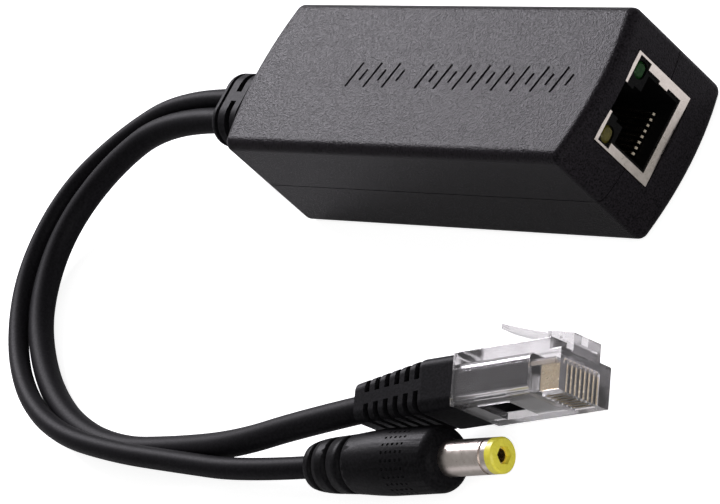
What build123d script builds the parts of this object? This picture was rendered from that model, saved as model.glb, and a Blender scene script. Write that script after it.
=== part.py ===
# PoE splitter: a bowed plastic case with a shielded network jack in one end and, from the
# strain relief in the other end, a network cord with a clear plug and a power cord with a
# barrel plug. Millimetres. The origin is the middle of the case's base; +X runs to the jack.
from build123d import *
import os
from math import cos, radians, sin, tan

os.makedirs("parts", exist_ok=True)

# Case
case_length = 82.8  # between the crowns of the two bowed ends
case_width = 28.0
case_height = 22.5
end_bow = 2.0  # how far each end bows out past its corners
wall = 2.0
edge_radius = 1.7
inner_radius = 0.6
seam_height = 11.0
seam_line_height = 0.15
seam_line_depth = 0.3
lip_height = 1.2
lip_gap = 0.1

# Slanted strokes sunk in the lid
stroke_height = 4.6
stroke_slant = 1.5
stroke_width = 0.55
stroke_depth = 0.3
stroke_pitch = 4.4
short_stroke_share = 0.45
stroke_end_gap = 7.8  # from the last stroke to the case's +X end
first_group = 3
second_group = 8
group_gap = 3.4
stroke_row = (first_group + second_group - 0.5) * stroke_pitch + group_gap
stroke_start_x = case_length / 2 - stroke_end_gap - stroke_row

# Circuit board and its posts
board_top = 6.25
board_thickness = 1.6
board_left_gap = 3.9  # from the case's inner crown
board_right_gap = 2.6
board_left_x = wall + board_left_gap - case_length / 2
board_right_x = case_length / 2 - wall - board_right_gap
board_side_gap = 0.4
board_corner = 1.0
post_side = 3.6
post_pin_side = 1.5
post_pin_drop = 0.2  # from the board's top down to the pins' ends
post_side_gap = 1.0
post_y = case_width / 2 - wall - post_side_gap - post_side / 2
post_gap = 0.1

# Jack in the +X end
jack_inset = 0.5  # from the crown of the bowed end
jack_width = 15.9
jack_ceiling_gap = 1.55
jack_height = case_height - wall - board_top - jack_ceiling_gap
jack_depth = 18.0
jack_gap = 0.15
shield_sheet = 0.3
shield_fit = 0.05
jack_floor = 1.7
port_roof = 4.0  # from the port's ceiling to the jack's top
port_width = 12.0
port_height = jack_height - jack_floor - port_roof
port_depth = 13.0
latch_step_width = 6.4
latch_step_height = 1.6
latch_slot_width = 5.2
latch_slot_depth = 7.0
shield_window_width = 13.1
shield_window_floor = 1.5
shield_top_strip = 0.65
shield_lug_height = 5.65  # of the lug's middle over the board
shield_lug_length = 2.0
shield_lug_reach = 0.5
lamp_width = 2.8
lamp_height = 2.3
lamp_length = 6.0
lamp_corner = 1.1
lamp_bevel = 0.4
lamp_fit = 0.05
lamp_top_margin = 0.9
lamp_side_margin = 0.8
lamp_window_margin = 0.35
shield_leg_width = 1.5
shield_leg_inset = 6.0
peg_radius = 1.5
peg_inset = 9.0
peg_spacing = 11.4
hole_gap = 0.1

# The eight springy contacts in the jack
contact_count = 8
contact_pitch = 1.02
contact_width = 0.4
contact_sheet = 0.3
contact_bend = 0.45
contact_front = 3.3
contact_tip_depth = 11.0
contact_tip_height = 4.0
contact_run_height = 1.25
contact_turn_height = 0.95
contact_tail_depth = (11.9, 14.4)
contact_tail_reach = 0.6  # below the board
contact_slot_gap = 0.1

# Parts on the board
lead_room = 6.1  # for the cords' leads, from the case's inner crown
bay_left_x = wall + lead_room - case_length / 2
bay_right_x = case_length / 2 - jack_inset - jack_depth
bay_length = bay_right_x - bay_left_x
# Places and lengths on the board, as shares of the bay's length
post_place_share = 0.032
magnetics_place_share = 0.827
magnetics_length_share = 0.128
chip_place_share = 0.664
chip_length_share = 0.07
bridge_length_share = 0.071
core_place_share = 0.45
core_length_share = 0.11
bobbin_length_share = 0.196
input_can_share = 0.142
output_can_share = 0.112
can_place_share = 0.226
first_output_can_share = 0.163
second_output_can_share = 0.281
inductor_place_share = 0.083
inductor_side_share = 0.117
rectifier_place_share = 0.101
rectifier_length_share = 0.046
# Gaps and other sizes on the board
part_ceiling_gap = 2.25
low_part_ceiling_gap = 3.25
inner_side = case_width / 2 - wall
ceiling_height = case_height - wall - board_top
post_jack_gap = 0.9
post_x = (bay_left_x + post_place_share * bay_length, bay_right_x - post_jack_gap - post_side / 2)
magnetics_x = bay_left_x + magnetics_place_share * bay_length
magnetics_size = (magnetics_length_share * bay_length, 12.7, 5.6)
chip_x = bay_left_x + chip_place_share * bay_length
chip_size = (chip_length_share * bay_length, 4.9, 1.5)
chip_lead_pitch = 1.27
bridge_size = (bridge_length_share * bay_length, 4.7, 2.4)
bridge_side_gap = 1.05
bridge_y = inner_side - bridge_side_gap - bridge_size[1] / 2
lead_sheet = 0.25
core_x = bay_left_x + core_place_share * bay_length
core_size = (core_length_share * bay_length, 13.0, ceiling_height - part_ceiling_gap)
core_limb = 2.6
bobbin_length = bobbin_length_share * bay_length
bobbin_base = 2.2
winding_gap = 0.15
input_can = (input_can_share * bay_length, ceiling_height - part_ceiling_gap)  # diameter and height
output_can = (output_can_share * bay_length, ceiling_height - low_part_ceiling_gap)
can_edge = 0.5
can_x = bay_left_x + can_place_share * bay_length
can_side_gap = 1.8
can_y = inner_side - can_side_gap - input_can[0] / 2
output_can_x = (bay_left_x + first_output_can_share * bay_length, bay_left_x + second_output_can_share * bay_length)
output_can_side_gap = 0.45
output_can_y = output_can_side_gap + output_can[0] / 2 - inner_side
inductor_x = bay_left_x + inductor_place_share * bay_length
inductor_size = (inductor_side_share * bay_length, 4.2)  # side and height
rectifier_x = bay_left_x + rectifier_place_share * bay_length
rectifier_size = (rectifier_length_share * bay_length, 4.3, 2.1)
rectifier_tab = 0.5
rectifier_side_gap = 0.15
rectifier_y = inner_side - rectifier_side_gap - rectifier_tab - rectifier_size[1] / 2

# Strain relief in the -X end
relief_width = 12.9
relief_height = 8.5
relief_end_x = -57.6
relief_seat = 0.4  # flat sunk in the bowed end below its crown
relief_neck_inset = 0.9
relief_flange = 1.5
relief_flange_rim = 0.3
relief_gap = 0.1
relief_edge = 1.3
ring_start = 1.5  # from the free end to the groove that runs all round
ring_width = 0.8
ring_depth = 1.0
slot_start = 4.0
slot_count = 4
slot_width = 1.3
slot_pitch = 2.6
slot_core = (8.3, 5.9)
slot_web = 1.8

# Cords
network_cord_diameter = 4.3
power_cord_diameter = 3.5
network_route = [
    (-57.6, -2.1, 11.0),
    (-73.0, -2.1, 11.0),
    (-88.0, -9.6, 7.3),
    (-96.0, -21.8, 4.1),
    (-93.0, -36.0, 2.6),
    (-82.5, -47.8, 2.3),
    (-68.7, -56.4, 2.3),
    (-53.3, -60.0, 2.3),
    (-36.9, -59.0, 2.9),
    (-20.5, -57.9, 5.2),
    (-5.6, -54.2, 8.8),
    (8.86, -50.58, 8.25),
]
power_route = [
    (-57.6, 2.1, 11.0),
    (-71.9, 2.1, 11.0),
    (-87.6, -4.2, 8.1),
    (-99.1, -14.7, 5.5),
    (-100.4, -29.7, 3.9),
    (-92.3, -43.6, 3.7),
    (-79.6, -54.1, 4.8),
    (-64.9, -60.3, 5.8),
    (-48.7, -62.2, 5.9),
    (-32.4, -62.3, 5.5),
    (-16.4, -62.3, 5.15),
    (-0.7, -60.05, 5.15),
]
network_lead_diameter = 1.0
power_lead_diameter = 1.3
lead_bend = 2.0
lead_reach = 3.2

# Power plug: grip, barrel, insulator and centre contact
grip_length = 28.8
grip_rear_radius = 2.6
grip_tail_radius = 3.6
grip_radius = 5.1
grip_swell = 18.0  # where the grip reaches its full radius
grip_shoulder = 1.8
grip_face_radius = 3.9
groove_places = (3.0, 6.4, 9.7)
groove_width = 0.8
groove_depth = 0.6
barrel_radius = 2.75
barrel_wall = 0.45
barrel_length = 9.5
barrel_ring_place = 8.4
barrel_ring_width = 0.5
barrel_ring_depth = 0.2
insulator_tip = 1.5
tip_chamfer = 0.3
tip_hexagon = 1.5  # from its middle to its corners
contact_radius = 1.05
contact_wall = 0.3
contact_tube = 8.0
tip_recess = 0.8

# Network plug: clear body with its latch, blades, conductors and boot
plug_width = 11.7
plug_height = 8.3
plug_nose_height = 6.5
plug_nose_length = 2.2
plug_length = 20.4
plug_lean = 17.0  # degrees, from standing on its narrow side
plug_edge = 0.3
plug_neck = 2.0
plug_neck_inset = 0.7
plug_neck_corner = 0.9
boot_length = 20.8
boot_rear_width = 7.6
boot_rear_height = 6.2
boot_edge = 1.6
boot_straight = 6.0
boot_slot_count = 6
boot_slot_pitch = 2.2
boot_slot_width = 1.1
boot_slot_depth = 1.4
boot_slot_web = 1.8
boot_slot_start = 2.2
cord_height = 3.9  # of the cord's axis over the plug's contact side
latch_root_width = 6.3
latch_lever_width = 3.2
latch_root_length = 5.0
latch_reach = 15.3
latch_root_top = 9.3
latch_step_top = 10.3
latch_middle_top = 11.6
latch_tip_top = 13.2
latch_sheet = 1.1
latch_tip_sheet = 0.8
latch_hinge = 1.3
blade_pitch = 1.02
blade_sheet = 0.35
blade_slot = 0.55
blade_length = 3.6
blade_start = 0.9
blade_sink = 0.2
wire_diameter = 0.85
wire_start = 1.8
wire_height = 5.0
blade_wire_gap = 0.1
jacket_start = 6.5
jacket_size = (9.4, 5.6)
jacket_corner = 1.7
jacket_gap = 0.1
crimp_start = 11.0
crimp_length = 6.0
crimp_width = 7.0
crimp_dent = 1.3


def case_plan(inset, corner):
    """The case seen from above, moved in by inset, with its four corners rounded."""
    half_width = case_width / 2 - inset
    crown = case_length / 2 - inset
    with BuildSketch() as plan:
        with BuildLine():
            Line((end_bow - crown, half_width), (crown - end_bow, half_width))
            ThreePointArc((crown - end_bow, half_width), (crown, 0), (crown - end_bow, -half_width))
            Line((crown - end_bow, -half_width), (end_bow - crown, -half_width))
            ThreePointArc((end_bow - crown, -half_width), (-crown, 0), (end_bow - crown, half_width))
        make_face()
        fillet(plan.vertices(), corner)
    return plan.sketch


def bend_radii(route, share=0.45):
    """One radius for each corner: the largest arc that the two runs beside it allow."""
    points = [Vector(*point) for point in route]
    radii = []
    for before, corner, after in zip(points, points[1:], points[2:]):
        turn = (corner - before).get_angle(after - corner)
        shorter = min((corner - before).length, (after - corner).length)
        radii.append(share * shorter / tan(radians(turn) / 2))
    return radii


def end_direction(route):
    """Unit vector along a route's last run."""
    return (Vector(*route[-1]) - Vector(*route[-2])).normalized()


# The case as a closed block, and the room inside it
with BuildPart() as outer_form:
    with BuildSketch():
        add(case_plan(0, edge_radius))
    extrude(amount=case_height)
    rims = outer_form.edges().group_by(Axis.Z)
    fillet(rims[0] + rims[-1], edge_radius)

with BuildPart() as inner_form:
    with BuildSketch(Plane.XY.offset(wall)):
        add(case_plan(wall, inner_radius))
    extrude(amount=case_height - 2 * wall)

# Planes that the parts are drawn on
board_plane = Plane.XY.offset(board_top)
board_underside = board_top - board_thickness
jack_face_x = case_length / 2 - jack_inset
jack_front = Plane(origin=(jack_face_x, 0, board_top), x_dir=(0, 1, 0), z_dir=(1, 0, 0))
relief_face_x = relief_seat - case_length / 2
inner_crown_x = case_length / 2 - wall
flange_reach = relief_width / 2 + relief_flange_rim
flange_sag = end_bow * (flange_reach / (case_width / 2 - wall)) ** 2
relief_flange_x = relief_gap + flange_sag - inner_crown_x

# Case halves
post_middle_x = (post_x[0] + post_x[1]) / 2
relief_section = Plane(origin=(relief_end_x, 0, seam_height), x_dir=(0, -1, 0), z_dir=(-1, 0, 0))
jack_middle = board_top + jack_height / 2


wall_reach = wall + end_bow
seat_plane = Plane(origin=(relief_face_x, 0, seam_height), x_dir=(0, -1, 0), z_dir=(-1, 0, 0))
neck_trim = 2 * (relief_neck_inset - relief_gap)
with BuildPart() as case_openings:
    window_plane = Plane(origin=(case_length / 2, 0, jack_middle), x_dir=(0, 1, 0), z_dir=(1, 0, 0))
    with BuildSketch(window_plane):
        Rectangle(jack_width + 2 * jack_gap, jack_height + 2 * jack_gap)
    extrude(amount=-2 * wall_reach)
    with BuildSketch(seat_plane):
        SlotOverall(relief_width + 2 * relief_gap, relief_height + 2 * relief_gap)
    extrude(amount=2 * relief_seat)
    with BuildSketch(seat_plane):
        SlotOverall(relief_width - neck_trim, relief_height - neck_trim)
    extrude(amount=-wall_reach)


with BuildPart() as case_bottom:
    add(outer_form.part)
    add(inner_form.part, mode=Mode.SUBTRACT)
    split(bisect_by=Plane.XY.offset(seam_height), keep=Keep.BOTTOM)
    with BuildSketch(Plane.XY.offset(seam_height - lip_height)):
        add(case_plan(wall / 2 + lip_gap / 2, edge_radius - wall / 2))
        add(case_plan(wall, inner_radius), mode=Mode.SUBTRACT)
    extrude(amount=2 * lip_height)
    with BuildSketch(Plane.XY.offset(wall)):
        with Locations((post_middle_x, 0)):
            with GridLocations(post_x[1] - post_x[0], 2 * post_y, 2, 2):
                Rectangle(post_side, post_side)
    extrude(amount=board_underside - wall)
    with BuildSketch(Plane.XY.offset(wall)):
        with Locations((post_middle_x, 0)):
            with GridLocations(post_x[1] - post_x[0], 2 * post_y, 2, 2):
                Rectangle(post_pin_side, post_pin_side)
    extrude(amount=board_top - post_pin_drop - wall)
    add(case_openings.part, mode=Mode.SUBTRACT)
case_bottom.part.label = "case_bottom"
export_step(case_bottom.part, "parts/case_bottom.step")

strokes = []
stroke_x = stroke_start_x
for cell in range(first_group + second_group):
    if cell == first_group:
        stroke_x += group_gap
    strokes.append((stroke_x, stroke_height))
    strokes.append((stroke_x + stroke_pitch / 2, stroke_height * short_stroke_share))
    stroke_x += stroke_pitch

with BuildPart() as case_top:
    add(outer_form.part)
    add(inner_form.part, mode=Mode.SUBTRACT)
    split(bisect_by=Plane.XY.offset(seam_height), keep=Keep.TOP)
    with BuildSketch(Plane.XY.offset(seam_height)):
        add(case_plan(wall / 2 - lip_gap / 2, edge_radius - wall / 2))
    extrude(amount=lip_height + lip_gap, mode=Mode.SUBTRACT)
    with BuildSketch(Plane.XY.offset(seam_height)):
        add(case_plan(0, edge_radius))
        add(case_plan(seam_line_depth, edge_radius - seam_line_depth), mode=Mode.SUBTRACT)
    extrude(amount=seam_line_height, mode=Mode.SUBTRACT)
    with BuildSketch(Plane.XY.offset(board_top + post_gap)):
        with Locations((post_middle_x, 0)):
            with GridLocations(post_x[1] - post_x[0], 2 * post_y, 2, 2):
                Rectangle(post_side, post_side)
    extrude(amount=case_height - wall - board_top - post_gap)
    slant = stroke_slant / stroke_height
    with BuildSketch(Plane.XY.offset(case_height)):
        for middle_x, height in strokes:
            with BuildLine():
                foot = (middle_x - slant * height / 2, -height / 2)
                head = (middle_x + slant * height / 2, height / 2)
                Line(foot, head)
            trace(line_width=stroke_width)
    extrude(amount=-stroke_depth, mode=Mode.SUBTRACT)
    add(case_openings.part, mode=Mode.SUBTRACT)
case_top.part.label = "case_top"
export_step(case_top.part, "parts/case_top.step")

# Strain relief: outer ribbed body, neck through the wall and a flange inside it
relief_length = relief_face_x - relief_end_x
with BuildPart() as strain_relief:
    with BuildSketch(relief_section):
        SlotOverall(relief_width, relief_height)
    extrude(amount=-relief_length)
    fillet(strain_relief.faces().sort_by(Axis.X)[0].edges(), relief_edge)
    with BuildSketch(relief_section.offset(-ring_start)):
        SlotOverall(relief_width + 2, relief_height + 2)
        SlotOverall(relief_width - 2 * ring_depth, relief_height - 2 * ring_depth, mode=Mode.SUBTRACT)
    extrude(amount=-ring_width, mode=Mode.SUBTRACT)
    for index in range(slot_count):
        slot_plane = relief_section.offset(-slot_start - index * slot_pitch)
        with BuildSketch(slot_plane):
            SlotOverall(relief_width + 2, relief_height + 2)
            Rectangle(*slot_core, mode=Mode.SUBTRACT)
            if index % 2:
                Rectangle(relief_width + 4, slot_web, mode=Mode.SUBTRACT)
            else:
                Rectangle(slot_web, relief_height + 4, mode=Mode.SUBTRACT)
        extrude(amount=-slot_width, mode=Mode.SUBTRACT)
    with BuildSketch(relief_section.offset(-relief_length)):
        SlotOverall(relief_width - 2 * relief_neck_inset, relief_height - 2 * relief_neck_inset)
    extrude(amount=relief_face_x - relief_flange_x - relief_flange)
    with BuildSketch(Plane(origin=(relief_flange_x, 0, seam_height), x_dir=(0, 1, 0), z_dir=(1, 0, 0))):
        SlotOverall(relief_width + 2 * relief_flange_rim, relief_height + 2 * relief_flange_rim)
    extrude(amount=relief_flange)
strain_relief.part.label = "strain_relief"
export_step(strain_relief.part, "parts/strain_relief.step")

# Circuit board
leg_y = (jack_width - shield_sheet) / 2
tail_places = [
    (jack_face_x - contact_tail_depth[index % 2], (index - (contact_count - 1) / 2) * contact_pitch)
    for index in range(contact_count)
]
with BuildPart() as main_board:
    with BuildSketch(Plane.XY.offset(board_underside)) as board_outline:
        with Locations(((board_left_x + board_right_x) / 2, 0)):
            board_width = case_width - 2 * wall - 2 * board_side_gap
            RectangleRounded(board_right_x - board_left_x, board_width, board_corner)
        with Locations((post_middle_x, 0)):
            with GridLocations(post_x[1] - post_x[0], 2 * post_y, 2, 2):
                pin_hole = post_pin_side + 2 * hole_gap
                Rectangle(pin_hole, pin_hole, mode=Mode.SUBTRACT)
        with Locations((jack_face_x - peg_inset, 0)):
            with GridLocations(1, peg_spacing, 1, 2):
                Circle(peg_radius + hole_gap, mode=Mode.SUBTRACT)
        with Locations((jack_face_x - shield_leg_inset, 0)):
            with GridLocations(1, 2 * leg_y, 1, 2):
                Rectangle(shield_leg_width + 2 * hole_gap, shield_sheet + 2 * hole_gap, mode=Mode.SUBTRACT)
        with Locations(*tail_places):
            tail_hole = (contact_sheet + 2 * hole_gap, contact_width + 2 * hole_gap)
            Rectangle(*tail_hole, mode=Mode.SUBTRACT)
    extrude(amount=board_thickness)
main_board.part.label = "main_board"
export_step(main_board.part, "parts/main_board.step")

# Jack shield: folded sheet round the housing, with the port and the lamp windows in front
lamp_low = jack_height - lamp_top_margin - lamp_height
shield_lug_y = (shield_window_width - shield_lug_reach) / 2
with BuildPart() as jack_shield:
    with BuildSketch(jack_front):
        Rectangle(jack_width, jack_height, align=(Align.CENTER, Align.MIN))
    extrude(amount=-jack_depth)
    with BuildSketch(jack_front.offset(-shield_sheet)):
        inner_width = jack_width - 2 * shield_sheet
        Rectangle(inner_width, jack_height - shield_sheet, align=(Align.CENTER, Align.MIN))
    extrude(amount=2 * shield_sheet - jack_depth, mode=Mode.SUBTRACT)
    with BuildSketch(jack_front):
        with Locations((0, shield_window_floor)):
            window = (shield_window_width, lamp_low - shield_window_floor)
            Rectangle(*window, align=(Align.CENTER, Align.MIN))
        with Locations((shield_lug_y, shield_lug_height)):
            Rectangle(shield_lug_reach, shield_lug_length, mode=Mode.SUBTRACT)
        with Locations((0, lamp_low)):
            lamp_window = (jack_width - 2 * lamp_window_margin, jack_height - shield_top_strip - lamp_low)
            Rectangle(*lamp_window, align=(Align.CENTER, Align.MIN))
            Rectangle(latch_slot_width, jack_height - lamp_low, align=(Align.CENTER, Align.MIN))
    extrude(amount=-shield_sheet, mode=Mode.SUBTRACT)
    with BuildSketch(jack_front.offset(-shield_leg_inset - shield_leg_width / 2)):
        with GridLocations(2 * leg_y, 1, 2, 1):
            leg_drop = board_thickness + contact_tail_reach
            with Locations((0, -leg_drop)):
                Rectangle(shield_sheet, leg_drop + shield_sheet, align=(Align.CENTER, Align.MIN))
    extrude(amount=shield_leg_width)
jack_shield.part.label = "jack_shield"
export_step(jack_shield.part, "parts/jack_shield.step")

# Jack housing: moulded block behind the shield's front, with the stepped port
housing_front = jack_front.offset(-shield_sheet - shield_fit)
housing_width = jack_width - 2 * (shield_sheet + shield_fit)
housing_height = jack_height - shield_sheet - shield_fit
contact_span = (contact_count - 1) * contact_pitch
lamp_y = jack_width / 2 - lamp_side_margin - lamp_width / 2
lamp_middle = lamp_low + lamp_height / 2
with BuildPart() as jack_housing:
    with BuildSketch(housing_front):
        Rectangle(housing_width, housing_height, align=(Align.CENTER, Align.MIN))
    extrude(amount=2 * (shield_sheet + shield_fit) - jack_depth)
    with BuildSketch(housing_front):
        with Locations((0, jack_floor)):
            Rectangle(port_width, port_height, align=(Align.CENTER, Align.MIN))
            latch_step = (latch_step_width, port_height + latch_step_height)
            Rectangle(*latch_step, align=(Align.CENTER, Align.MIN))
    extrude(amount=-port_depth, mode=Mode.SUBTRACT)
    with BuildSketch(housing_front):
        with Locations((0, jack_floor)):
            Rectangle(latch_slot_width, jack_height, align=(Align.CENTER, Align.MIN))
    extrude(amount=-latch_slot_depth, mode=Mode.SUBTRACT)
    with BuildSketch(housing_front):
        with Locations((0, lamp_middle)):
            with GridLocations(2 * lamp_y, 1, 2, 1):
                pocket = (lamp_width + 2 * lamp_fit, lamp_height + 2 * lamp_fit)
                RectangleRounded(*pocket, lamp_corner + lamp_fit)
    extrude(amount=-lamp_length - lamp_fit, mode=Mode.SUBTRACT)
    slot_front_x = jack_face_x - contact_front + 2 * contact_slot_gap
    slot_back_x = jack_face_x - contact_tail_depth[1] - contact_width
    with BuildSketch(board_plane):
        with Locations(((slot_front_x + slot_back_x) / 2, 0)):
            with GridLocations(1, contact_pitch, 1, contact_count):
                Rectangle(slot_front_x - slot_back_x, contact_width + 2 * contact_slot_gap)
    extrude(amount=jack_floor + contact_slot_gap, mode=Mode.SUBTRACT)
    with BuildSketch(board_plane):
        with Locations((jack_face_x - peg_inset, 0)):
            with GridLocations(1, peg_spacing, 1, 2):
                Circle(peg_radius)
    extrude(amount=-board_thickness)
jack_housing.part.label = "jack_housing"
export_step(jack_housing.part, "parts/jack_housing.step")

# Jack contacts: bent strips that rise from the board, run forward and turn back into the port
with BuildPart() as jack_contacts:
    for index, (tail_x, tail_y) in enumerate(tail_places):
        run_z = board_top + contact_run_height
        front_x = jack_face_x - contact_front - contact_sheet / 2
        strip_side = Plane(origin=(0, tail_y, 0), x_dir=(1, 0, 0), z_dir=(0, -1, 0))
        with BuildSketch(strip_side):
            with BuildLine():
                FilletPolyline(
                    (tail_x, board_underside - contact_tail_reach),
                    (tail_x, run_z),
                    (front_x, run_z),
                    (front_x, run_z + contact_turn_height),
                    (jack_face_x - contact_tip_depth, board_top + contact_tip_height),
                    radius=contact_bend,
                )
            trace(line_width=contact_sheet)
        extrude(amount=contact_width / 2, both=True)
jack_contacts.part.label = "jack_contacts"
export_step(jack_contacts.part, "parts/jack_contacts.step")

# Lamps in the jack's two upper corners, seen from its front
lamp_plane = housing_front.offset(-lamp_length)
with BuildPart() as lamp_green:
    with BuildSketch(lamp_plane):
        with Locations((lamp_y, lamp_middle)):
            RectangleRounded(lamp_width, lamp_height, lamp_corner)
    extrude(amount=lamp_length)
    chamfer(lamp_green.faces().sort_by(Axis.X)[-1].edges(), lamp_bevel)
lamp_green.part.label = "lamp_green"
export_step(lamp_green.part, "parts/lamp_green.step")

with BuildPart() as lamp_yellow:
    with BuildSketch(lamp_plane):
        with Locations((-lamp_y, lamp_middle)):
            RectangleRounded(lamp_width, lamp_height, lamp_corner)
    extrude(amount=lamp_length)
    chamfer(lamp_yellow.faces().sort_by(Axis.X)[-1].edges(), lamp_bevel)
lamp_yellow.part.label = "lamp_yellow"
export_step(lamp_yellow.part, "parts/lamp_yellow.step")

# Network isolating transformer with eight leads a side
with BuildPart() as lan_transformer:
    length, width, height = magnetics_size
    with BuildSketch(board_plane.offset(lead_sheet)):
        with Locations((magnetics_x, 0)):
            Rectangle(length, width)
    extrude(amount=height - lead_sheet)
    with BuildSketch(board_plane):
        with Locations((magnetics_x, 0)):
            with GridLocations(length + 1.2, 1.27, 2, 8):
                Rectangle(1.3, 0.5)
    extrude(amount=2 * lead_sheet)
lan_transformer.part.label = "lan_transformer"
export_step(lan_transformer.part, "parts/lan_transformer.step")

# Power controller, a flat chip with four leads a side
with BuildPart() as power_controller:
    length, width, height = chip_size
    with BuildSketch(board_plane.offset(lead_sheet)):
        with Locations((chip_x, 0)):
            Rectangle(length, width)
    extrude(amount=height - lead_sheet)
    with BuildSketch(board_plane):
        with Locations((chip_x, 0)):
            with GridLocations(length + 0.8, chip_lead_pitch, 2, 4):
                Rectangle(0.9, 0.4)
    extrude(amount=2 * lead_sheet)
power_controller.part.label = "power_controller"
export_step(power_controller.part, "parts/power_controller.step")

# Two bridge rectifiers, one for each feeding scheme
with BuildPart() as bridge_rectifiers:
    length, width, height = bridge_size
    with BuildSketch(board_plane.offset(lead_sheet)):
        with Locations((chip_x, 0)):
            with GridLocations(1, 2 * bridge_y, 1, 2):
                Rectangle(length, width)
    extrude(amount=height - lead_sheet)
    with BuildSketch(board_plane):
        with Locations((chip_x, bridge_y), (chip_x, -bridge_y)):
            with GridLocations(length + 0.6, width / 2, 2, 2):
                Rectangle(0.8, 0.6)
    extrude(amount=2 * lead_sheet)
bridge_rectifiers.part.label = "bridge_rectifiers"
export_step(bridge_rectifiers.part, "parts/bridge_rectifiers.step")

# Power transformer: an E-shaped ferrite core pair round a wound bobbin
core_depth, core_width, core_height = core_size
core_low = bobbin_base
window_width = (core_width - 3 * core_limb) / 2
core_side = Plane(origin=(core_x, 0, board_top + core_low), x_dir=(0, 1, 0), z_dir=(1, 0, 0))
window_y = (core_limb + window_width) / 2
window_height = core_height - core_low - 2 * core_limb
with BuildPart() as transformer_core:
    with BuildSketch(core_side):
        Rectangle(core_width, core_height - core_low, align=(Align.CENTER, Align.MIN))
        with Locations((window_y, core_limb), (-window_y, core_limb)):
            window = (window_width, window_height)
            Rectangle(*window, align=(Align.CENTER, Align.MIN), mode=Mode.SUBTRACT)
    extrude(amount=core_depth / 2, both=True)
transformer_core.part.label = "transformer_core"
export_step(transformer_core.part, "parts/transformer_core.step")

with BuildPart() as transformer_winding:
    with BuildSketch(board_plane.offset(core_low + core_limb + winding_gap)):
        with Locations((core_x, 0)):
            outer = core_limb + 2 * window_width - 2 * winding_gap
            RectangleRounded(bobbin_length, outer, outer / 3)
            hole = (core_depth + 2 * winding_gap, core_limb + 2 * winding_gap)
            Rectangle(*hole, mode=Mode.SUBTRACT)
    extrude(amount=window_height - 2 * winding_gap)
    with BuildSketch(board_plane):
        with Locations((core_x, 0)):
            with GridLocations(core_depth + bobbin_length / 4, 1, 2, 1):
                Rectangle(bobbin_length / 4 - 2 * winding_gap, core_width)
    extrude(amount=bobbin_base)
    with BuildSketch(board_plane):
        with Locations((core_x, 0)):
            with GridLocations(core_depth + bobbin_length / 4, 1, 2, 1):
                Rectangle(bobbin_length / 4 - 2 * winding_gap, core_limb)
    extrude(amount=core_low + core_limb + 2 * winding_gap)
transformer_winding.part.label = "transformer_winding"
export_step(transformer_winding.part, "parts/transformer_winding.step")

# Smoothing capacitors: upright cans with a rolled neck over the seal
with BuildPart() as input_capacitor:
    diameter, height = input_can
    with BuildSketch(board_plane):
        with Locations((can_x, can_y)):
            Circle(diameter / 2)
    extrude(amount=height)
    chamfer(input_capacitor.edges().group_by(Axis.Z)[-1], can_edge)
    with BuildSketch(board_plane.offset(1.4)):
        with Locations((can_x, can_y)):
            Circle(diameter / 2)
            Circle(diameter / 2 - 0.4, mode=Mode.SUBTRACT)
    extrude(amount=0.7, mode=Mode.SUBTRACT)
input_capacitor.part.label = "input_capacitor"
export_step(input_capacitor.part, "parts/input_capacitor.step")

with BuildPart() as output_capacitors:
    diameter, height = output_can
    with BuildSketch(board_plane):
        with Locations(*[(place_x, output_can_y) for place_x in output_can_x]):
            Circle(diameter / 2)
    extrude(amount=height)
    chamfer(output_capacitors.edges().group_by(Axis.Z)[-1], can_edge)
output_capacitors.part.label = "output_capacitors"
export_step(output_capacitors.part, "parts/output_capacitors.step")

# Output inductor, a shielded square with its round core showing
with BuildPart() as output_inductor:
    side, height = inductor_size
    with BuildSketch(board_plane):
        with Locations((inductor_x, 0)):
            RectangleRounded(side, side, 1.2)
    extrude(amount=height)
    with BuildSketch(board_plane.offset(height)):
        with Locations((inductor_x, 0)):
            Circle(side / 2 - 0.5)
            Circle(side / 2 - 1.0, mode=Mode.SUBTRACT)
    extrude(amount=-0.5, mode=Mode.SUBTRACT)
output_inductor.part.label = "output_inductor"
export_step(output_inductor.part, "parts/output_inductor.step")

# Output rectifier
with BuildPart() as output_rectifier:
    length, width, height = rectifier_size
    with BuildSketch(board_plane.offset(lead_sheet)):
        with Locations((rectifier_x, rectifier_y)):
            Rectangle(length, width)
    extrude(amount=height - lead_sheet)
    with BuildSketch(board_plane):
        with Locations((rectifier_x, rectifier_y)):
            Rectangle(length / 2, width + 2 * rectifier_tab)
    extrude(amount=2 * lead_sheet)
output_rectifier.part.label = "output_rectifier"
export_step(output_rectifier.part, "parts/output_rectifier.step")

# Leads from the strain relief's inner face down to the board
lead_face_x = relief_flange_x + relief_flange
lead_foot_x = lead_face_x + lead_reach
with BuildPart() as network_leads:
    for offset_y in (-3.6, -2.4, -1.2, 0.0):
        with BuildLine():
            route = FilletPolyline(
                (lead_face_x, offset_y, seam_height),
                (lead_foot_x, offset_y, seam_height),
                (lead_foot_x, offset_y, board_top),
                radius=lead_bend,
            )
        with BuildSketch(Plane(origin=route @ 0, z_dir=route % 0)):
            RegularPolygon(network_lead_diameter / 2, 6)
        sweep(path=route)
network_leads.part.label = "network_leads"
export_step(network_leads.part, "parts/network_leads.step")

with BuildPart() as power_leads:
    for offset_y in (1.5, 3.2):
        with BuildLine():
            route = FilletPolyline(
                (lead_face_x, offset_y, seam_height),
                (lead_foot_x, offset_y, seam_height),
                (lead_foot_x, offset_y, board_top),
                radius=lead_bend,
            )
        with BuildSketch(Plane(origin=route @ 0, z_dir=route % 0)):
            RegularPolygon(power_lead_diameter / 2, 6)
        sweep(path=route)
power_leads.part.label = "power_leads"
export_step(power_leads.part, "parts/power_leads.step")

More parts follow.
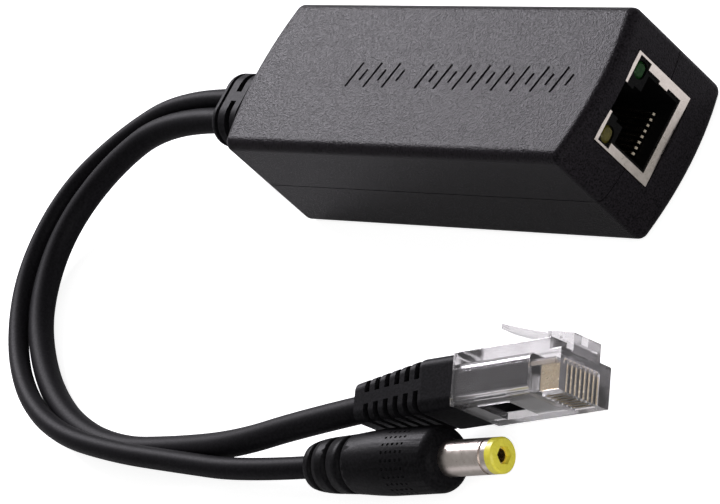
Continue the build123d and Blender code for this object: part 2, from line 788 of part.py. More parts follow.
# Cords
network_radii = bend_radii(network_route)
power_radii = bend_radii(power_route)
with BuildPart() as network_cord:
    with BuildLine():
        network_path = FilletPolyline(*network_route, radius=network_radii)
    with BuildSketch(Plane(origin=network_path @ 0, z_dir=network_path % 0)):
        Circle(network_cord_diameter / 2)
    sweep(path=network_path)
network_cord.part.label = "network_cord"
export_step(network_cord.part, "parts/network_cord.step")

with BuildPart() as power_cord:
    with BuildLine():
        power_path = FilletPolyline(*power_route, radius=power_radii)
    with BuildSketch(Plane(origin=power_path @ 0, z_dir=power_path % 0)):
        Circle(power_cord_diameter / 2)
    sweep(path=power_path)
power_cord.part.label = "power_cord"
export_step(power_cord.part, "parts/power_cord.step")

# Power plug, turned about the line of its cord's last run
power_axis = end_direction(power_route)
power_tail = Vector(*power_route[-1])
power_side = Plane(origin=power_tail, x_dir=power_axis, z_dir=power_axis.cross(Vector(0, 0, 1)))
power_turn = Axis(power_tail, power_axis)
with BuildPart() as power_plug_grip:
    with BuildSketch(power_side):
        with BuildLine():
            Line((0, 0), (0, grip_rear_radius))
            Line((0, grip_rear_radius), (1.0, grip_tail_radius))
            swell = Spline(
                (1.0, grip_tail_radius),
                (grip_swell / 2, (grip_tail_radius + grip_radius) / 2 + 0.15),
                (grip_swell, grip_radius),
                tangents=((3, 1), (1, 0)),
            )
            Line(swell @ 1, (grip_length - grip_shoulder, grip_radius))
            ThreePointArc(
                (grip_length - grip_shoulder, grip_radius),
                (grip_length - 0.35 * grip_shoulder, grip_radius - 0.4 * (grip_radius - grip_face_radius)),
                (grip_length, grip_face_radius),
            )
            Line((grip_length, grip_face_radius), (grip_length, 0))
            Line((grip_length, 0), (0, 0))
        make_face()
        for place in groove_places:
            rib_radius = grip_tail_radius + (grip_radius - grip_tail_radius) * place / grip_swell
            with Locations((place, rib_radius - groove_depth + 0.1)):
                groove = (groove_width, grip_radius)
                Rectangle(*groove, align=(Align.CENTER, Align.MIN), mode=Mode.SUBTRACT)
    revolve(axis=power_turn)
power_plug_grip.part.label = "power_plug_grip"
export_step(power_plug_grip.part, "parts/power_plug_grip.step")

barrel_end = grip_length + barrel_length
with BuildPart() as power_plug_barrel:
    with BuildSketch(power_side):
        with Locations((grip_length, barrel_radius - barrel_wall)):
            Rectangle(barrel_length, barrel_wall, align=(Align.MIN, Align.MIN))
        with Locations((grip_length + barrel_ring_place, barrel_radius)):
            Rectangle(barrel_ring_width, 2 * barrel_ring_depth, mode=Mode.SUBTRACT)
    revolve(axis=power_turn)
power_plug_barrel.part.label = "power_plug_barrel"
export_step(power_plug_barrel.part, "parts/power_plug_barrel.step")

tip_end = barrel_end + insulator_tip
tube_radius = contact_radius + contact_wall
with BuildPart() as power_plug_insulator:
    with BuildSketch(power_side):
        with BuildLine():
            Polyline(
                (grip_length, tube_radius),
                (grip_length, barrel_radius - barrel_wall),
                (barrel_end, barrel_radius - barrel_wall),
                (barrel_end, barrel_radius),
                (tip_end - tip_chamfer, barrel_radius),
                (tip_end, barrel_radius - tip_chamfer),
                (tip_end, contact_radius),
                (tip_end - tip_recess, contact_radius),
                (tip_end - tip_recess, tube_radius),
                close=True,
            )
        make_face()
    revolve(axis=power_turn)
    with BuildSketch(Plane(origin=power_tail + power_axis * tip_end, z_dir=power_axis)):
        RegularPolygon(tip_hexagon, 6)
    extrude(amount=-tip_recess, mode=Mode.SUBTRACT)
power_plug_insulator.part.label = "power_plug_insulator"
export_step(power_plug_insulator.part, "parts/power_plug_insulator.step")

with BuildPart() as power_plug_contact:
    with BuildSketch(power_side):
        with Locations((tip_end - tip_recess, contact_radius)):
            Rectangle(contact_tube, contact_wall, align=(Align.MAX, Align.MIN))
        with Locations((tip_end - tip_recess - contact_tube, 0)):
            Rectangle(contact_wall, tube_radius, align=(Align.MAX, Align.MIN))
    revolve(axis=power_turn)
power_plug_contact.part.label = "power_plug_contact"
export_step(power_plug_contact.part, "parts/power_plug_contact.step")

# Network plug: its own frame has x to the nose, z to the latch side, origin at the nose's
# contact side
plug_axis = end_direction(network_route)
plug_level = Vector(0, 0, 1).cross(plug_axis).normalized()
plug_up = plug_axis.cross(plug_level)
plug_normal = plug_level * cos(radians(plug_lean)) + plug_up * sin(radians(plug_lean))
plug_across = plug_normal.cross(plug_axis)
total_length = plug_length + boot_length
plug_nose = Vector(*network_route[-1]) + plug_axis * total_length - plug_normal * cord_height
plug_floor = Plane(origin=plug_nose, x_dir=plug_axis, z_dir=plug_normal)
plug_side = Plane(origin=plug_nose, x_dir=plug_axis, z_dir=plug_axis.cross(plug_normal))
plug_section = Plane(origin=plug_nose, x_dir=plug_across, z_dir=plug_axis)
blade_span = (contact_count - 1) * blade_pitch

with BuildPart() as network_plug_body:
    with BuildSketch(plug_side):
        with BuildLine():
            Polyline(
                (0, 0),
                (0, plug_nose_height),
                (-plug_nose_length, plug_nose_height),
                (-plug_nose_length, plug_height),
                (-plug_length, plug_height),
                (-plug_length, 0),
                close=True,
            )
        make_face()
    extrude(amount=plug_width / 2, both=True)
    long_edges = [edge for edge in network_plug_body.edges() if abs((edge % 0).dot(plug_axis)) > 0.99]
    fillet(long_edges, plug_edge)
    with BuildSketch(plug_section.offset(-plug_length)):
        with Locations((0, plug_height / 2)):
            neck = (plug_width - 2 * plug_neck_inset, plug_height - 2 * plug_neck_inset)
            RectangleRounded(*neck, plug_neck_corner)
    extrude(amount=-plug_neck)
    # The latch: a hinge at the nose, a wide root and a narrow lever curving up to the rear
    with BuildSketch(plug_side):
        with BuildLine():
            Polyline(
                (0, plug_nose_height - plug_edge),
                (0, latch_root_top),
                (-latch_root_length, latch_step_top),
                (-latch_root_length, latch_step_top - latch_sheet),
                (-latch_hinge, latch_root_top - latch_sheet),
                (-latch_hinge, plug_nose_height - plug_edge),
                close=True,
            )
        make_face()
    extrude(amount=latch_root_width / 2, both=True)
    with BuildSketch(plug_side):
        with BuildLine():
            lever_top = ThreePointArc(
                (-latch_root_length, latch_step_top),
                (-(latch_root_length + latch_reach) / 2, latch_middle_top),
                (-latch_reach, latch_tip_top),
            )
            lever_end = Line(lever_top @ 1, (-latch_reach, latch_tip_top - latch_tip_sheet))
            middle_sheet = (latch_sheet + latch_tip_sheet) / 2
            ThreePointArc(
                lever_end @ 1,
                (-(latch_root_length + latch_reach) / 2, latch_middle_top - middle_sheet),
                (-latch_root_length, latch_step_top - latch_sheet),
            )
            Line((-latch_root_length, latch_step_top - latch_sheet), (-latch_root_length, latch_step_top))
        make_face()
    extrude(amount=latch_lever_width / 2, both=True)
    # The jacket's hole, the wires' channel, the blade slots and the crimp window
    with BuildSketch(plug_section.offset(-jacket_start)):
        with Locations((0, cord_height)):
            cavity = (jacket_size[0] + 2 * jacket_gap, jacket_size[1] + 2 * jacket_gap)
            RectangleRounded(*cavity, jacket_corner + jacket_gap)
    extrude(amount=-plug_length, mode=Mode.SUBTRACT)
    with BuildSketch(plug_section.offset(-wire_start)):
        with Locations((0, wire_height)):
            Rectangle(blade_span + wire_diameter + jacket_gap, wire_diameter + jacket_gap)
    extrude(amount=wire_start - jacket_start, mode=Mode.SUBTRACT)
    with BuildSketch(plug_floor):
        with Locations((-blade_start - blade_length / 2, 0)):
            with GridLocations(1, blade_pitch, 1, contact_count):
                Rectangle(blade_length + 2 * jacket_gap, blade_slot)
    extrude(amount=wire_height, mode=Mode.SUBTRACT)
    with BuildSketch(plug_floor):
        with Locations((-crimp_start - crimp_length / 2, 0)):
            Rectangle(crimp_length, crimp_width)
    extrude(amount=cord_height - jacket_size[1] / 2, mode=Mode.SUBTRACT)
network_plug_body.part.label = "network_plug_body"
export_step(network_plug_body.part, "parts/network_plug_body.step")

with BuildPart() as network_plug_blades:
    with BuildSketch(plug_floor.offset(blade_sink)):
        with Locations((-blade_start - blade_length / 2, 0)):
            with GridLocations(1, blade_pitch, 1, contact_count):
                Rectangle(blade_length, blade_sheet)
    extrude(amount=wire_height - wire_diameter / 2 - blade_wire_gap - blade_sink)
network_plug_blades.part.label = "network_plug_blades"
export_step(network_plug_blades.part, "parts/network_plug_blades.step")

with BuildPart() as network_plug_wires:
    with BuildSketch(plug_section.offset(-wire_start)):
        with Locations((0, wire_height)):
            with GridLocations(blade_pitch, 1, contact_count, 1):
                RegularPolygon(wire_diameter / 2, 8)
    extrude(amount=wire_start - jacket_start)
network_plug_wires.part.label = "network_plug_wires"
export_step(network_plug_wires.part, "parts/network_plug_wires.step")

with BuildPart() as network_plug_jacket:
    with BuildSketch(plug_section.offset(-jacket_start)):
        with Locations((0, cord_height)):
            RectangleRounded(*jacket_size, jacket_corner)
    extrude(amount=jacket_start - plug_length - plug_neck)
    with BuildSketch(plug_floor.offset(cord_height - jacket_size[1] / 2)):
        with Locations((-crimp_start - crimp_length / 2, 0)):
            Rectangle(crimp_length, crimp_width)
    extrude(amount=crimp_dent, mode=Mode.SUBTRACT)
network_plug_jacket.part.label = "network_plug_jacket"
export_step(network_plug_jacket.part, "parts/network_plug_jacket.step")

boot_front = plug_section.offset(-plug_length)
with BuildPart() as network_plug_boot:
    with BuildSketch(boot_front):
        with Locations((0, plug_height / 2)):
            RectangleRounded(plug_width, plug_height, boot_edge)
    extrude(amount=-boot_straight)
    with BuildSketch(boot_front.offset(-boot_straight)):
        with Locations((0, plug_height / 2)):
            RectangleRounded(plug_width, plug_height, boot_edge)
    with BuildSketch(boot_front.offset(-boot_length)):
        with Locations((0, cord_height)):
            RectangleRounded(boot_rear_width, boot_rear_height, boot_edge)
    loft()
    for index in range(boot_slot_count):
        slot_place = boot_length - boot_slot_start - index * boot_slot_pitch
        share = max(0.0, (slot_place - boot_straight) / (boot_length - boot_straight))
        width_here = plug_width + (boot_rear_width - plug_width) * share
        height_here = plug_height + (boot_rear_height - plug_height) * share
        middle_here = plug_height / 2 + (cord_height - plug_height / 2) * share
        with BuildSketch(boot_front.offset(-slot_place)):
            with Locations((0, middle_here)):
                Rectangle(plug_width + 2, plug_height + 2)
                core = (width_here - 2 * boot_slot_depth, height_here - 2 * boot_slot_depth)
                Rectangle(*core, mode=Mode.SUBTRACT)
                Rectangle(plug_width + 4, boot_slot_web, mode=Mode.SUBTRACT)
        extrude(amount=boot_slot_width, mode=Mode.SUBTRACT)
    with BuildSketch(boot_front):
        with Locations((0, plug_height / 2)):
            trim = 2 * (plug_neck_inset - jacket_gap)
            pocket = (plug_width - trim, plug_height - trim)
            RectangleRounded(*pocket, plug_neck_corner + jacket_gap)
    extrude(amount=-plug_neck - jacket_gap, mode=Mode.SUBTRACT)
network_plug_boot.part.label = "network_plug_boot"
export_step(network_plug_boot.part, "parts/network_plug_boot.step")

for name, path, piece, diameter, radii in (
    ("network cord", network_path, network_cord, network_cord_diameter, network_radii),
    ("power cord", power_path, power_cord, power_cord_diameter, power_radii),
):
    section = 3.14159265 * diameter**2 / 4
    print(name, "radii", [round(radius, 1) for radius in radii])
    print(name, "length", round(path.length, 2), "volume", round(piece.part.volume, 1))
    print(name, "section times length", round(section * path.length, 1))
print("plug nose", plug_nose, "plug lowest corner", (plug_nose + plug_across * (plug_width / 2)).Z)
print("plug frame", plug_axis, plug_across, plug_normal)
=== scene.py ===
# Looks for the splitter: camera, materials, the dimpled grip, cords, floor and light around
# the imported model. Lengths are in metres, in the model's own frame.
import math

import bmesh
import bpy
from mathutils import Matrix, Vector


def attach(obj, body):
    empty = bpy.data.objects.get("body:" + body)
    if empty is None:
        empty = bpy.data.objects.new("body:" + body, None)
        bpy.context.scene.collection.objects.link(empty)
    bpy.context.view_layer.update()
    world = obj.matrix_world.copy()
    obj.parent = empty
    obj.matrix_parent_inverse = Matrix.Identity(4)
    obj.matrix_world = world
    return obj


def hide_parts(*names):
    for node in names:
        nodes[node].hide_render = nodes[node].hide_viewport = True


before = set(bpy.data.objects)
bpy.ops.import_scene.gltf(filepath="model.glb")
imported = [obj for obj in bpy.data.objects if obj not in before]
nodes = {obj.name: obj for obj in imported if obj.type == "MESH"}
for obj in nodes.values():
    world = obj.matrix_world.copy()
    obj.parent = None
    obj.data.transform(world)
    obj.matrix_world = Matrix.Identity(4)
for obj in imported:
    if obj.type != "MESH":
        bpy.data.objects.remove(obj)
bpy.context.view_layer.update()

MM = 0.001

# Camera, fitted to the photograph
FOCAL_PX = 4816.16
IMAGE_WIDTH_PX = 720.0
SENSOR_WIDTH_MM = 36.0
CLIP_START = 0.05
CLIP_END = 20.0
CAMERA_PLACE = Vector((560.382, -267.533, 425.981)) * MM
CAMERA_RIGHT = Vector((0.643842, 0.443590, -0.623454))
CAMERA_UP = Vector((-0.044366, 0.835076, 0.548343))
CAMERA_BACK = Vector((0.763871, -0.325386, 0.557337))

# Cords, on the routes of the model's tubes in mm. The last three points before the network
# plug stand up to 1.3 mm higher or lower than the tube's, to follow the photograph.
NETWORK_ROUTE = [
    (-57.6, -2.1, 11.0),
    (-73.0, -2.1, 11.0),
    (-88.0, -9.6, 7.3),
    (-96.0, -21.8, 4.1),
    (-93.0, -36.0, 2.6),
    (-82.5, -47.8, 2.3),
    (-68.7, -56.4, 2.3),
    (-53.3, -60.0, 2.3),
    (-36.9, -59.0, 3.2),
    (-20.5, -57.9, 5.5),
    (-5.6, -54.2, 7.5),
    (8.86, -50.58, 8.25),
]
POWER_ROUTE = [
    (-57.6, 2.1, 11.0),
    (-71.9, 2.1, 11.0),
    (-87.6, -4.2, 8.1),
    (-99.1, -14.7, 5.5),
    (-100.4, -29.7, 3.9),
    (-92.3, -43.6, 3.7),
    (-79.6, -54.1, 4.8),
    (-64.9, -60.3, 5.8),
    (-48.7, -62.2, 5.9),
    (-32.4, -62.3, 5.5),
    (-16.4, -62.3, 5.15),
    (-0.7, -60.05, 5.15),
]
NETWORK_CORD_DIAMETER = 4.3 * MM
POWER_CORD_DIAMETER = 3.5 * MM
CORD_SPLINE_ORDER = 3
CORD_STEPS_A_POINT = 24
CORD_ROUND_STEPS = 8

# Rows of pits round the power plug's grip
GRIP_RADIUS = 5.1 * MM
GRIP_BODY = (11.5 * MM, 26.9 * MM)  # between its grooves and its shoulder
GRIP_SHARP_ANGLE = math.radians(32.0)
PIT_ROWS = 25
PITS_A_ROW = 5
PIT_RADIUS = 0.26 * MM
PIT_SINK = 0.04 * MM
PIT_RIM = 0.03 * MM
PIT_PITCH = 1.0 * MM
PIT_MIDDLE = 21.2 * MM
PIT_FIRST_ANGLE = math.radians(12.0)
PIT_BALL_SUBDIVISIONS = 2

# Places on a noise's 0 to 1 between which a material goes from its first tone to its second
TONE_STOPS = (0.3, 0.7)

# Moulded plastics and rubbers: the two tones, roughness, and what differs from the usual grain
PLASTIC_DETAIL = 1.0
PLASTICS = {
    "case_plastic": {
        "dark": (0.004, 0.0035, 0.0041),
        "light": (0.022, 0.0192, 0.0227),
        "roughness": 0.3,
        "grain": 3800.0,
        "relief": 0.000088,
        "specular": 0.0305,
        "spread": 0.05,
    },
    "black_rubber": {
        "dark": (0.005, 0.0048, 0.0055),
        "light": (0.012, 0.0114, 0.013),
        "roughness": 0.46,
        "specular": 0.032,
    },
    "grip_plastic": {
        "dark": (0.004, 0.0038, 0.0043),
        "light": (0.01, 0.0095, 0.0107),
        "roughness": 0.42,
        "specular": 0.03,
    },
    "socket_plastic": {
        "dark": (0.002, 0.002, 0.002),
        "light": (0.004, 0.004, 0.004),
        "roughness": 0.5,
        "specular": 0.06,
    },
    "cord_rubber": {
        "dark": (0.0055, 0.0051, 0.006),
        "light": (0.0105, 0.0098, 0.0114),
        "roughness": 0.5,
        "relief": 0.00001,
        "specular": 0.03,
    },
    "lens_green": {
        "dark": (0.004, 0.024, 0.005),
        "light": (0.009, 0.044, 0.009),
        "roughness": 0.25,
        "specular": 0.12,
    },
    "lens_yellow": {
        "dark": (0.055, 0.047, 0.008),
        "light": (0.09, 0.078, 0.014),
        "roughness": 0.25,
    },
    "tip_yellow": {
        "dark": (0.84, 0.75, 0.06),
        "light": (0.93, 0.84, 0.085),
        "roughness": 0.35,
        "specular": 0.4,
    },
    "board_green": {
        "dark": (0.01, 0.07, 0.03),
        "light": (0.02, 0.1, 0.04),
        "roughness": 0.4,
    },
    "chip_epoxy": {
        "dark": (0.008, 0.008, 0.008),
        "light": (0.014, 0.014, 0.014),
        "roughness": 0.6,
    },
    "ferrite": {
        "dark": (0.02, 0.02, 0.022),
        "light": (0.035, 0.035, 0.038),
        "roughness": 0.55,
    },
    "winding_tape": {
        "dark": (0.5, 0.36, 0.04),
        "light": (0.6, 0.45, 0.06),
        "roughness": 0.35,
    },
    "can_sleeve": {
        "dark": (0.012, 0.012, 0.02),
        "light": (0.02, 0.02, 0.032),
        "roughness": 0.3,
    },
    "lead_insulation": {
        "dark": (0.25, 0.1, 0.03),
        "light": (0.4, 0.18, 0.05),
        "roughness": 0.4,
    },
    "wire_insulation": {
        "dark": (0.92, 0.82, 0.66),
        "light": (0.98, 0.92, 0.8),
        "roughness": 0.35,
    },
}

# Plated metals: the two tones and roughness
METAL_GRAIN = 1500.0
METAL_DETAIL = 3.0
METAL_RELIEF = 0.000003
METAL_SPREAD = 0.04
METALS = {
    "nickel": {"dark": (0.66, 0.60, 0.54), "light": (0.78, 0.71, 0.65), "roughness": 0.3},
    "barrel_nickel": {"dark": (0.54, 0.48, 0.44), "light": (0.62, 0.56, 0.52), "roughness": 0.31},
    "contact_metal": {"dark": (0.6, 0.52, 0.4), "light": (0.7, 0.62, 0.5), "roughness": 0.2},
    "gold": {"dark": (0.94, 0.76, 0.44), "light": (1.0, 0.88, 0.6), "roughness": 0.25},
}

# The network plug's clear plastic
CLEAR_WAVES = 300.0
CLEAR_DETAIL = 2.0
CLEAR_RELIEF = 0.00001
CLEAR_DARK = (0.6, 0.58, 0.595)
CLEAR_LIGHT = (0.72, 0.7, 0.72)
CLEAR_ROUGHNESS = (0.1, 0.18)
CLEAR_TRANSMISSION = 0.94
CLEAR_IOR = 1.45

# Which material each of the model's nodes gets
FINISHES = {
    "case_bottom": "case_plastic",
    "case_top": "case_plastic",
    "strain_relief": "black_rubber",
    "main_board": "board_green",
    "jack_shield": "nickel",
    "jack_housing": "socket_plastic",
    "jack_contacts": "contact_metal",
    "lamp_green": "lens_green",
    "lamp_yellow": "lens_yellow",
    "lan_transformer": "chip_epoxy",
    "power_controller": "chip_epoxy",
    "bridge_rectifiers": "chip_epoxy",
    "transformer_core": "ferrite",
    "transformer_winding": "winding_tape",
    "input_capacitor": "can_sleeve",
    "output_capacitors": "can_sleeve",
    "output_inductor": "ferrite",
    "output_rectifier": "chip_epoxy",
    "network_leads": "lead_insulation",
    "power_leads": "lead_insulation",
    "power_plug_grip": "grip_plastic",
    "power_plug_barrel": "barrel_nickel",
    "power_plug_insulator": "tip_yellow",
    "power_plug_contact": "gold",
    "network_plug_body": "clear_plastic",
    "network_plug_blades": "gold",
    "network_plug_wires": "wire_insulation",
    "network_plug_jacket": "cord_rubber",
    "network_plug_boot": "black_rubber",
}

# Floor and surroundings: white to the eye, and at a share of that in mirrored rays
WHITE = (1.0, 1.0, 1.0)
FLOOR_HALF_SIDE = 3.0
FLOOR_GRAIN = 40.0
FLOOR_DETAIL = 2.0
FLOOR_GREYS = (0.74, 0.78)
FLOOR_ROUGHNESS = 0.8
FLOOR_GLOW = 0.8
FLOOR_MIRROR_SHARE = 0.1
WORLD_LEVEL = 0.25
WORLD_MIRROR_SHARE = 0.2

# Lamps, each turned to the model from its direction
LAMPS = {
    "key": {
        "direction": (-0.775, 0.375, 0.505),
        "distance": 1.2,
        "width": 0.5,
        "height": 0.4,
        "power": 23.0,
        "colour": (0.96, 0.935, 1.0),
    },
    "fill": {
        "direction": (0.85, -0.35, 0.4),
        "distance": 1.5,
        "width": 1.0,
        "height": 0.8,
        "power": 8.0,
        "colour": WHITE,
    },
}


def add_camera():
    camera_data = bpy.data.cameras.new("camera")
    camera_data.sensor_width = SENSOR_WIDTH_MM
    camera_data.lens = SENSOR_WIDTH_MM * FOCAL_PX / IMAGE_WIDTH_PX
    camera_data.clip_start = CLIP_START
    camera_data.clip_end = CLIP_END
    camera = bpy.data.objects.new("camera", camera_data)
    turn = Matrix((CAMERA_RIGHT, CAMERA_UP, CAMERA_BACK)).transposed()
    camera.matrix_world = Matrix.Translation(CAMERA_PLACE) @ turn.to_4x4()
    bpy.context.scene.collection.objects.link(camera)
    bpy.context.scene.camera = camera


def new_material(name):
    material = bpy.data.materials.new(name)
    material.use_nodes = True
    tree = material.node_tree
    shader = tree.nodes["Principled BSDF"]
    return material, tree, shader


def noise(tree, scale, detail):
    """Noise that stays with the piece, by its own coordinates."""
    place = tree.nodes.new("ShaderNodeTexCoord")
    texture = tree.nodes.new("ShaderNodeTexNoise")
    texture.inputs["Scale"].default_value = scale
    texture.inputs["Detail"].default_value = detail
    tree.links.new(place.outputs["Object"], texture.inputs["Vector"])
    return texture.outputs["Fac"]


def tones(tree, value, first, second):
    """A colour that goes from the first to the second as a noise rises."""
    node = tree.nodes.new("ShaderNodeValToRGB")
    for element, place, colour in zip(node.color_ramp.elements, TONE_STOPS, (first, second)):
        element.position = place
        element.color = (*colour, 1.0)
    tree.links.new(value, node.inputs["Fac"])
    return node.outputs["Color"]


def greys(tree, value, first, second):
    return tones(tree, value, (first,) * 3, (second,) * 3)


def bump(tree, shader, height, distance):
    node = tree.nodes.new("ShaderNodeBump")
    node.inputs["Distance"].default_value = distance
    tree.links.new(height, node.inputs["Height"])
    tree.links.new(node.outputs["Normal"], shader.inputs["Normal"])


def maths(tree, operation, first, second):
    node = tree.nodes.new("ShaderNodeMath")
    node.operation = operation
    tree.links.new(first, node.inputs[0])
    if isinstance(second, float):
        node.inputs[1].default_value = second
    else:
        tree.links.new(second, node.inputs[1])
    return node.outputs["Value"]


def plastic(
    name, dark, light, roughness, grain=2500.0, relief=0.00002, specular=0.2, spread=0.02
):
    """Moulded plastic or rubber: a fine grain in its colour, roughness and surface."""
    material, tree, shader = new_material(name)
    fine = noise(tree, grain, PLASTIC_DETAIL)
    tree.links.new(tones(tree, fine, dark, light), shader.inputs["Base Color"])
    rough = greys(tree, fine, roughness + spread, roughness - spread)
    tree.links.new(rough, shader.inputs["Roughness"])
    shader.inputs["Specular IOR Level"].default_value = specular
    bump(tree, shader, fine, relief)
    return material


def metal(name, dark, light, roughness):
    """Plated sheet or tube: slight mottling in its colour, roughness and surface."""
    material, tree, shader = new_material(name)
    fine = noise(tree, METAL_GRAIN, METAL_DETAIL)
    tree.links.new(tones(tree, fine, dark, light), shader.inputs["Base Color"])
    rough = greys(tree, fine, roughness - METAL_SPREAD, roughness + METAL_SPREAD)
    tree.links.new(rough, shader.inputs["Roughness"])
    shader.inputs["Metallic"].default_value = 1.0
    bump(tree, shader, fine, METAL_RELIEF)
    return material


def clear_moulding(name):
    """Clear plastic with the faint waviness of a small moulding."""
    material, tree, shader = new_material(name)
    broad = noise(tree, CLEAR_WAVES, CLEAR_DETAIL)
    tree.links.new(tones(tree, broad, CLEAR_DARK, CLEAR_LIGHT), shader.inputs["Base Color"])
    tree.links.new(greys(tree, broad, *CLEAR_ROUGHNESS), shader.inputs["Roughness"])
    shader.inputs["Transmission Weight"].default_value = CLEAR_TRANSMISSION
    shader.inputs["IOR"].default_value = CLEAR_IOR
    bump(tree, shader, broad, CLEAR_RELIEF)
    return material


def finish_nodes():
    """Makes the materials, gives each node its own, and returns them by name."""
    materials = {name: plastic(name, **look) for name, look in PLASTICS.items()}
    materials.update({name: metal(name, **look) for name, look in METALS.items()})
    materials["clear_plastic"] = clear_moulding("clear_plastic")
    for node_name, material_name in FINISHES.items():
        mesh = nodes[node_name].data
        mesh.materials.clear()
        mesh.materials.append(materials[material_name])
    return materials


def pit_cutters(tail, axis):
    """Small balls set in rows round the grip, for its pits."""
    side = Vector((0, 0, 1)).cross(axis).normalized()
    up = axis.cross(side)
    balls = bmesh.new()
    for row in range(PIT_ROWS):
        angle = PIT_FIRST_ANGLE + math.tau * row / PIT_ROWS
        outward = up * math.cos(angle) + side * math.sin(angle)
        for step in range(PITS_A_ROW):
            along = PIT_MIDDLE + (step - (PITS_A_ROW - 1) / 2) * PIT_PITCH
            centre = tail + axis * along + outward * (GRIP_RADIUS - PIT_SINK)
            bmesh.ops.create_icosphere(
                balls,
                subdivisions=PIT_BALL_SUBDIVISIONS,
                radius=PIT_RADIUS,
                matrix=Matrix.Translation(centre),
            )
    mesh = bpy.data.meshes.new("pit_cutters")
    balls.to_mesh(mesh)
    balls.free()
    cutters = bpy.data.objects.new("pit_cutters", mesh)
    bpy.context.scene.collection.objects.link(cutters)
    return cutters


def settle(piece):
    """Puts a piece's modifiers into its mesh."""
    graph = bpy.context.evaluated_depsgraph_get()
    mesh = bpy.data.meshes.new_from_object(piece.evaluated_get(graph))
    piece.modifiers.clear()
    piece.data = mesh


def add_dimpled_grip(finish):
    """The power plug's grip with rows of pits sunk in it."""
    tail = Vector(POWER_ROUTE[-1]) * MM
    axis = (tail - Vector(POWER_ROUTE[-2]) * MM).normalized()
    cutters = pit_cutters(tail, axis)
    plain_grip = nodes["power_plug_grip"]
    grip = bpy.data.objects.new("dimpled_grip", plain_grip.data.copy())
    bpy.context.scene.collection.objects.link(grip)
    cut = grip.modifiers.new("pits", "BOOLEAN")
    cut.operation = "DIFFERENCE"
    cut.object = cutters
    settle(grip)
    bpy.data.objects.remove(cutters)
    grip.data.polygons.foreach_set("use_smooth", [True] * len(grip.data.polygons))
    grip.data.set_sharp_from_angle(angle=GRIP_SHARP_ANGLE)
    # Round the pits, the body keeps the plain grip's shading
    stations = [(vertex.co - tail).dot(axis) for vertex in grip.data.vertices]
    body = [index for index, along in enumerate(stations) if GRIP_BODY[0] < along < GRIP_BODY[1]]
    grip.vertex_groups.new(name="body").add(body, 1.0, "REPLACE")
    shading = grip.modifiers.new("shading", "DATA_TRANSFER")
    shading.object = plain_grip
    shading.vertex_group = "body"
    shading.use_loop_data = True
    shading.data_types_loops = {"CUSTOM_NORMAL"}
    shading.loop_mapping = "POLYINTERP_NEAREST"
    shading.use_max_distance = True
    shading.max_distance = PIT_RIM
    settle(grip)
    grip.data.materials.clear()
    grip.data.materials.append(finish)
    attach(grip, "root")
    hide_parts("power_plug_grip")
    return grip


def add_cord(name, route, diameter, node_name, finish):
    curve = bpy.data.curves.new(name, "CURVE")
    curve.dimensions = "3D"
    spline = curve.splines.new("NURBS")
    spline.points.add(len(route) - 1)
    for point, place in zip(spline.points, route):
        point.co = (*(Vector(place) * MM), 1.0)
    spline.order_u = CORD_SPLINE_ORDER
    spline.use_endpoint_u = True
    spline.resolution_u = CORD_STEPS_A_POINT
    curve.bevel_depth = diameter / 2
    curve.bevel_resolution = CORD_ROUND_STEPS
    curve.use_fill_caps = True
    curve.materials.append(finish)
    piece = bpy.data.objects.new(name, curve)
    bpy.context.scene.collection.objects.link(piece)
    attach(piece, "root")
    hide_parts(node_name)


def add_cords(finish):
    add_cord(
        "network_lead",
        NETWORK_ROUTE,
        NETWORK_CORD_DIAMETER,
        "network_cord",
        finish,
    )
    add_cord(
        "power_lead",
        POWER_ROUTE,
        POWER_CORD_DIAMETER,
        "power_cord",
        finish,
    )


def seen_rays(tree, mirror_share):
    """1 for camera and see-through rays, a share for mirrored ones, 0 for the rest.

    The rest is the soft light between surfaces, which the white floor and world don't add to.
    """
    light_path = tree.nodes.new("ShaderNodeLightPath")
    mirrored = maths(tree, "MULTIPLY", light_path.outputs["Is Glossy Ray"], mirror_share)
    direct = maths(tree, "MAXIMUM", light_path.outputs["Is Camera Ray"], mirrored)
    return maths(tree, "MAXIMUM", direct, light_path.outputs["Is Transmission Ray"])


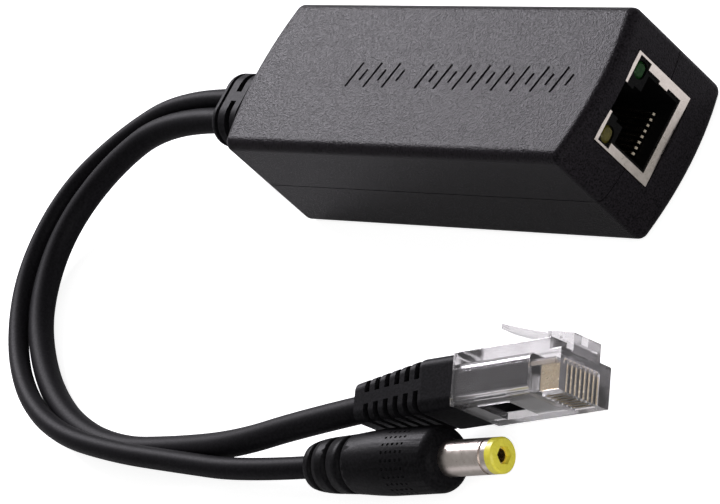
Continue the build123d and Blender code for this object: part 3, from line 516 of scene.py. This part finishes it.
def add_floor():
    side = FLOOR_HALF_SIDE
    mesh = bpy.data.meshes.new("floor")
    corners = [(-side, -side, 0), (side, -side, 0), (side, side, 0), (-side, side, 0)]
    mesh.from_pydata(corners, [], [(0, 1, 2, 3)])
    floor = bpy.data.objects.new("floor", mesh)
    bpy.context.scene.collection.objects.link(floor)
    material, tree, shader = new_material("floor_paper")
    fine = noise(tree, FLOOR_GRAIN, FLOOR_DETAIL)
    tree.links.new(greys(tree, fine, *FLOOR_GREYS), shader.inputs["Base Color"])
    shader.inputs["Roughness"].default_value = FLOOR_ROUGHNESS
    shader.inputs["Specular IOR Level"].default_value = 0.0
    shader.inputs["Emission Color"].default_value = (*WHITE, 1)
    glow = maths(tree, "MULTIPLY", seen_rays(tree, FLOOR_MIRROR_SHARE), FLOOR_GLOW)
    tree.links.new(glow, shader.inputs["Emission Strength"])
    mesh.materials.append(material)


def add_world():
    world = bpy.data.worlds.new("studio")
    world.use_nodes = True
    tree = world.node_tree
    background = tree.nodes["Background"]
    mix = tree.nodes.new("ShaderNodeMix")
    mix.data_type = "RGBA"
    mix.inputs["A"].default_value = (WORLD_LEVEL, WORLD_LEVEL, WORLD_LEVEL, 1)
    mix.inputs["B"].default_value = (*WHITE, 1)
    tree.links.new(seen_rays(tree, WORLD_MIRROR_SHARE), mix.inputs["Factor"])
    tree.links.new(mix.outputs["Result"], background.inputs["Color"])
    bpy.context.scene.world = world


def add_softbox(name, direction, distance, width, height, power, colour):
    light = bpy.data.lights.new(name, "AREA")
    light.shape = "RECTANGLE"
    light.size = width
    light.size_y = height
    light.energy = power
    light.color = colour
    lamp = bpy.data.objects.new(name, light)
    direction = Vector(direction).normalized()
    lamp.location = direction * distance
    lamp.rotation_euler = direction.to_track_quat("Z", "Y").to_euler()
    bpy.context.scene.collection.objects.link(lamp)


add_camera()
materials = finish_nodes()
grip = add_dimpled_grip(materials["grip_plastic"])
add_cords(materials["cord_rubber"])
add_floor()
add_world()
for lamp_name, lamp_look in LAMPS.items():
    add_softbox(lamp_name, **lamp_look)

bpy.context.scene.view_settings.view_transform = "Standard"
